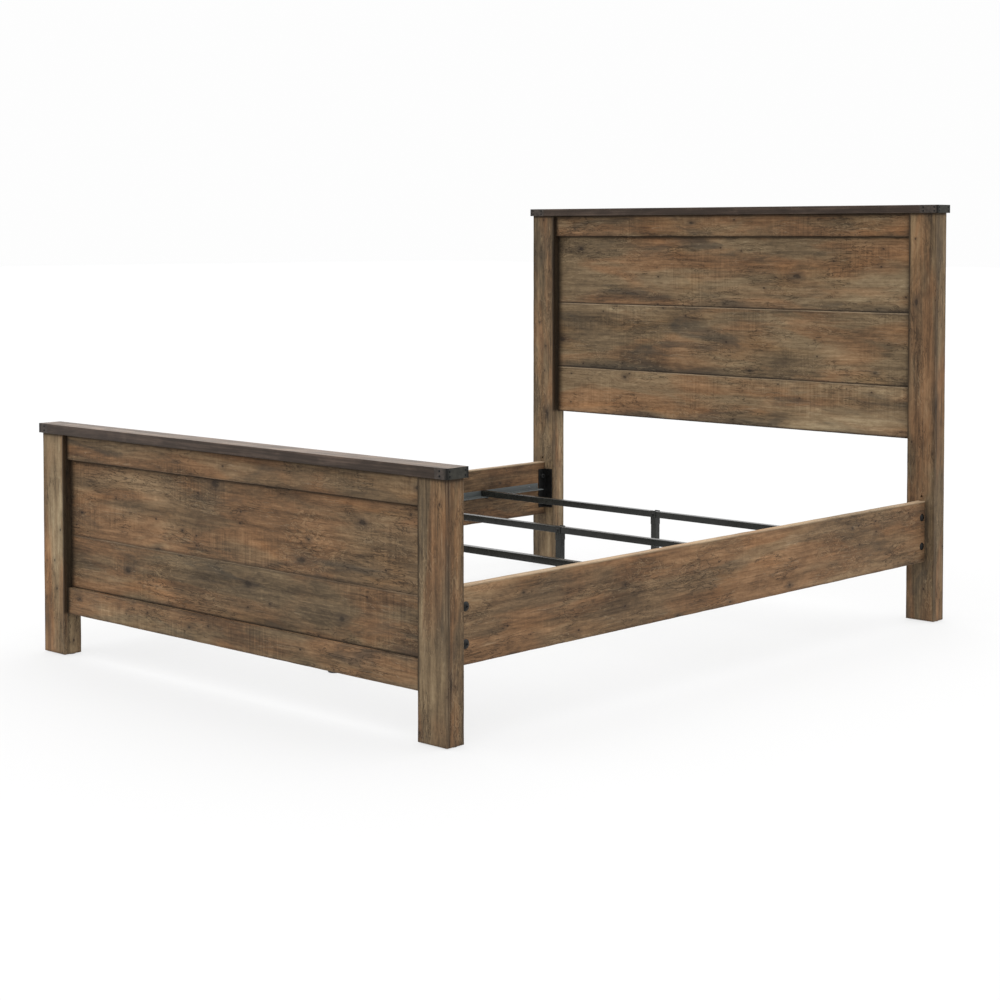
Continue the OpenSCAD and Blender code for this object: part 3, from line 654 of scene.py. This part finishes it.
for node, (axis, seed, tone, warm, smudge, slot, end, kind) in boards.items():
    look = {
        "tone": tone, "warm": warm, "smudge": smudge,
        "streak": 1.0 if axis == Z else 0.55,
        "highlight_strength": {"plank": 0.45, "side": 0.55}.get(kind, 0.0) * (0.25 if end is foot else 1.0),
        "saw": 0.4 if kind in ("post", "side") else 1.0,
        "grey": {"side": 0.35, "post": 0.7}.get(kind, 1.0),
    }
    if kind == "post":
        look.update(wear=0.7 * MM, ends=0.6 * MM)
    if end:
        look.update(corners=end[kind], span=end["span"])
    board(node, axis, seed, slot, tongues=tongued.get(node, (0, 0)), holes=spare_holes.get(node, ()), **look)

# ---------- the caps, the steel and the fasteners ----------

cap_look = cap_wood("cap")
for node in ("head_cap", "foot_cap"):
    softened(node, 1.0 * MM, cap_look)


def strap_look(name, low, high):
    """Blackened steel, with painted shade that makes it darker and greener on the cap's end, and black folds
    at its upright corners.
    """
    material = coated(name, (48, 43, 39), (70, 63, 58), 0.50, grit=0.0003, cloud_size=70, level=0.12)
    t = Tree(material.node_tree)
    shader = next(n for n in t.tree.nodes if n.type == "BSDF_PRINCIPLED")
    point = t.node("TexCoord").outputs["Object"]
    half = max(abs(low[X]), abs(high[X]))
    fold = 0.0
    for y in (low[Y], high[Y]):
        values = {"Point": point, "Corner": (half, y, 0), "Mask": (1, 1, 0), "Reach": 0.013}
        fold = t.most(fold, t.group(CORNER, values)[0])
    old = shader.inputs["Base Color"].links[0].from_socket
    # painted shade: the strap's end faces, found by their facing, are darkened and tinted green
    sideways = t.math("ABSOLUTE", t.xyz(t.node("TexCoord").outputs["Normal"])[0])
    shaded_end_face = t.mix(1.0, old, (0.58, 0.68, 0.66, 1), "MULTIPLY")
    shown = t.mix(t.step(sideways, 0.4, 0.8), old, shaded_end_face)
    t.put(shader.inputs["Base Color"], t.mix(t.mul(fold, 0.93), shown, shade(7, 7, 6)))
    return material


for end in ("head", "foot"):
    for side in ("left", "right"):
        node = f"{end}_cap_strap_{side}"
        softened(node, 0.45 * MM, strap_look(node, *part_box(node)))

tube_look = coated("tube", (23, 24, 22), (33, 34, 31), 0.22, grit=0.00002, level=0.3, patchy=0.1)
ledger_look = coated("ledger", (56, 60, 60), (75, 79, 78), 0.45, 0.0, cloud_size=30, streaky=(1, 0.2, 1))
bracket_look = coated("bracket", (8, 8, 8), (15, 15, 14), 0.42, level=0.2)
hardware_look = coated("hardware", (7, 7, 6), (12, 12, 11), 0.42, level=0.2)
nail_look = coated("nail", (5, 5, 5), (9, 9, 9), 0.45, level=0.15)
zinc_look = coated("zinc", (76, 78, 80), (110, 112, 114), 0.38, 0.8)
nut_look = coated("nut", (38, 38, 38), (62, 62, 62), 0.35, 0.5)
plastic_look = coated("plastic", (22, 22, 23), (31, 31, 32), 0.55, grit=0.00005)
dowel_look = wood("wood_dowels", Z, (0, 0, -1), (0, 0, -1), 31, tone=0.3)

for i in (1, 2, 3, 4):
    softened(f"cross_bar_{i}", 1.1 * MM, tube_look)
    softened(f"centre_leg_{i}", 1.1 * MM, tube_look)
for side in ("left", "right"):
    softened(f"ledger_{side}", 0.9 * MM, ledger_look)
    for end in ("head", "foot"):
        softened(f"{end}_bracket_{side}", 1.0 * MM, bracket_look)

plain = {
    "strap_nails": nail_look, "dowels": dowel_look, "panel_screws": zinc_look, "ledger_screws": zinc_look,
    "rail_bolts": hardware_look, "post_lag_screws": hardware_look, "bar_bolts": hardware_look,
    "leg_bolts": hardware_look, "nuts": nut_look, "bar_end_plugs": plastic_look, "leg_plugs": plastic_look,
    "post_glides": plastic_look,
}
for node, obj in frame["nodes"].items():
    if not obj.hide_render:
        obj.data.materials.append(plain.get(node, plastic_look))

# ---------- floor and light ----------

floor_mesh = bpy.data.meshes.new("floor")
r = 60
floor_mesh.from_pydata([(-r, -r, 0), (r, -r, 0), (r, r, 0), (-r, r, 0)], [], [(0, 1, 2, 3)])
floor = bpy.data.objects.new("floor", floor_mesh)
scene.collection.objects.link(floor)
floor_material, t = new_material("floor")
surface(t, Base_Color=(0.14, 0.14, 0.14, 1), Roughness=0.9, Specular_IOR_Level=0.1,
        Emission_Color=(1, 1, 1, 1), Emission_Strength=0.67)
floor_mesh.materials.append(floor_material)

# a white studio: even at the horizon and brighter overhead
world = bpy.data.worlds.new("world")
world.use_nodes = True
scene.world = world
t = Tree(world.node_tree)
background = world.node_tree.nodes["Background"]
up = t.xyz(t.node("TexCoord").outputs["Generated"])[2]
t.put(background.inputs["Color"], (1, 1, 1, 1))
t.put(background.inputs["Strength"], t.step(up, 0.10, 1.0, 0.985, 3.05))
